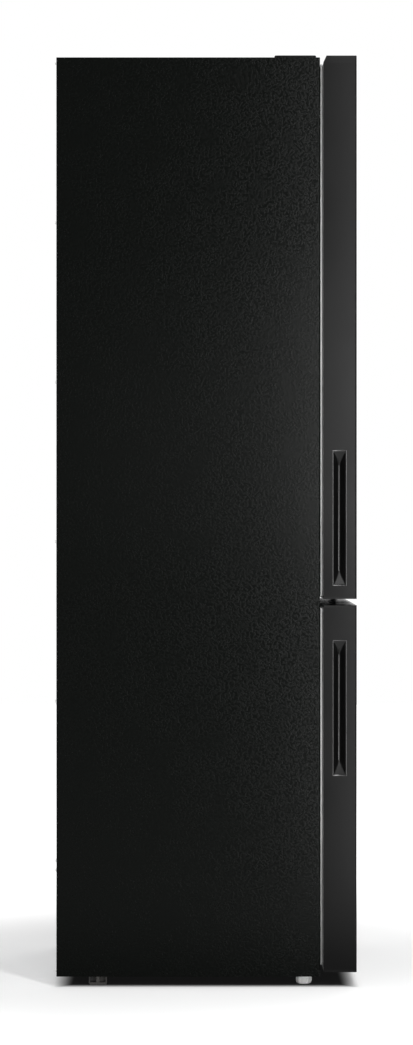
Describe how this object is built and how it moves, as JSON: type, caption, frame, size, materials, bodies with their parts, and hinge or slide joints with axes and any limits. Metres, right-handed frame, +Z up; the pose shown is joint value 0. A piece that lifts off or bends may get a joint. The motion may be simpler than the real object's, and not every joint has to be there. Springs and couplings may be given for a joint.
{
  "type": "bottom freezer refrigerator",
  "caption": "Tall free-standing refrigerator with the freezer below, side-hinged doors with recessed side grips, drawers, shelves and cooling parts inside.",
  "frame": {"origin": "on the floor, under the middle of the bounding box", "axes": "+Z up, -Y towards the doors, +X towards the hinge side"},
  "size_m": [0.6, 0.65, 2.03],
  "materials": {
    "cabinet_paint": "satin",
    "door_paint": "satin",
    "cap_black": "gloss",
    "grip_black": "satin",
    "zinc_sheet": "satin",
    "white_steel": "satin",
    "hinge_steel": "satin",
    "screw_steel": "satin",
    "insulation": "matte",
    "liner_white": "satin",
    "panel_white": "satin",
    "button_grey": "satin",
    "lamp_lens": "satin",
    "shelf_glass": "polished",
    "clear_plastic": "gloss",
    "seal_grey": "matte",
    "fin_aluminium": "satin",
    "black_steel": "satin",
    "fan_plastic": "satin",
    "mount_rubber": "matte",
    "tray_plastic": "satin",
    "foot_white": "satin",
    "foot_grey": "satin"
  },
  "bodies": {
    "cabinet": {"cabinet_shell": "cabinet_paint", "back_panel": "zinc_sheet", "bottom_panel": "zinc_sheet", "compressor_base": "zinc_sheet", "cabinet_foam": "insulation", "fridge_liner": "liner_white", "freezer_liner": "liner_white", "mullion_strip": "white_steel", "top_hinge": "hinge_steel", "middle_hinge": "hinge_steel", "bottom_hinge": "hinge_steel", "top_hinge_covers": "cap_black", "hinge_screws": "screw_steel", "control_panel": "panel_white", "led_lamps": "lamp_lens", "air_duct_cover": "panel_white", "shelf_glass_1": "shelf_glass", "shelf_glass_2": "shelf_glass", "shelf_glass_3": "shelf_glass", "shelf_glass_4": "shelf_glass", "shelf_trims": "panel_white", "evaporator_cover": "panel_white", "evaporator_coil": "fin_aluminium", "fan_motor": "fan_plastic", "compressor": "black_steel", "compressor_mounts": "mount_rubber", "drip_tray": "tray_plastic", "condenser_coil": "black_steel", "rear_cover": "zinc_sheet", "mains_inlet": "fan_plastic", "rear_feet": "foot_grey"},
    "upper_door": {"upper_door_skin": "door_paint", "upper_door_foam": "insulation", "upper_door_liner": "liner_white", "upper_door_end_caps": "cap_black", "upper_door_gasket": "seal_grey", "upper_door_grip": "grip_black", "bottle_bin": "clear_plastic", "door_bin_lower": "clear_plastic", "door_bin_upper": "clear_plastic", "dairy_bin": "clear_plastic"},
    "lower_door": {"lower_door_skin": "door_paint", "lower_door_foam": "insulation", "lower_door_liner": "liner_white", "lower_door_end_caps": "cap_black", "lower_door_gasket": "seal_grey", "lower_door_grip": "grip_black"},
    "dairy_lid_body": {"dairy_lid": "clear_plastic"},
    "crisper_body": {"crisper_drawer": "clear_plastic"},
    "chill_body": {"chill_drawer": "clear_plastic"},
    "freezer_bottom_body": {"freezer_drawer_bottom": "clear_plastic"},
    "freezer_middle_body": {"freezer_drawer_middle": "clear_plastic"},
    "freezer_top_body": {"freezer_drawer_top": "clear_plastic"},
    "fan_body": {"evaporator_fan": "fan_plastic"},
    "damper_body": {"damper_flap": "panel_white"},
    "cooling_button_body": {"cooling_button": "button_grey"},
    "freezing_button_body": {"freezing_button": "button_grey"},
    "humidity_slider_body": {"humidity_slider": "button_grey"},
    "left_foot_body": {"front_foot_left": "foot_white"},
    "right_foot_body": {"front_foot_right": "foot_white"}
  },
  "joints": [
    {"name": "upper_door_hinge", "type": "hinge", "parent": "cabinet", "child": "upper_door", "pos_m": [0.276, -0.299, 0.832], "axis": [0, 0, 1], "range_deg": [0, 120]},
    {"name": "lower_door_hinge", "type": "hinge", "parent": "cabinet", "child": "lower_door", "pos_m": [0.276, -0.299, 0.832], "axis": [0, 0, 1], "range_deg": [0, 120]},
    {"name": "dairy_lid_hinge", "type": "hinge", "parent": "upper_door", "child": "dairy_lid_body", "pos_m": [0, -0.228, 1.804], "axis": [1, 0, 0], "range_deg": [0, 85]},
    {"name": "crisper_slide", "type": "slide", "parent": "cabinet", "child": "crisper_body", "axis": [0, -1, 0], "range_m": [0, 0.02]},
    {"name": "chill_slide", "type": "slide", "parent": "cabinet", "child": "chill_body", "axis": [0, -1, 0], "range_m": [0, 0.02]},
    {"name": "freezer_bottom_slide", "type": "slide", "parent": "cabinet", "child": "freezer_bottom_body", "axis": [0, -1, 0], "range_m": [0, 0.02]},
    {"name": "freezer_middle_slide", "type": "slide", "parent": "cabinet", "child": "freezer_middle_body", "axis": [0, -1, 0], "range_m": [0, 0.02]},
    {"name": "freezer_top_slide", "type": "slide", "parent": "cabinet", "child": "freezer_top_body", "axis": [0, -1, 0], "range_m": [0, 0.02]},
    {"name": "fan_spin", "type": "hinge", "parent": "cabinet", "child": "fan_body", "pos_m": [0, 0.214, 0.697], "axis": [0, 1, 0], "continuous": true},
    {"name": "damper_hinge", "type": "hinge", "parent": "cabinet", "child": "damper_body", "pos_m": [0, 0.2505, 0.97], "axis": [1, 0, 0], "range_deg": [0, 85]},
    {"name": "cooling_button_press", "type": "slide", "parent": "cabinet", "child": "cooling_button_body", "axis": [0, 1, 0], "range_m": [0, 0.0015], "stiffness_N_per_m": 200},
    {"name": "freezing_button_press", "type": "slide", "parent": "cabinet", "child": "freezing_button_body", "axis": [0, 1, 0], "range_m": [0, 0.0015], "stiffness_N_per_m": 200},
    {"name": "humidity_slide", "type": "slide", "parent": "crisper_body", "child": "humidity_slider_body", "axis": [1, 0, 0], "range_m": [0, 0.03]},
    {"name": "left_foot_turn", "type": "hinge", "parent": "cabinet", "child": "left_foot_body", "pos_m": [-0.242, -0.2123, 0.011], "axis": [0, 0, 1], "continuous": true},
    {"name": "right_foot_turn", "type": "hinge", "parent": "cabinet", "child": "right_foot_body", "pos_m": [0.242, -0.2123, 0.011], "axis": [0, 0, 1], "continuous": true}
  ]
}
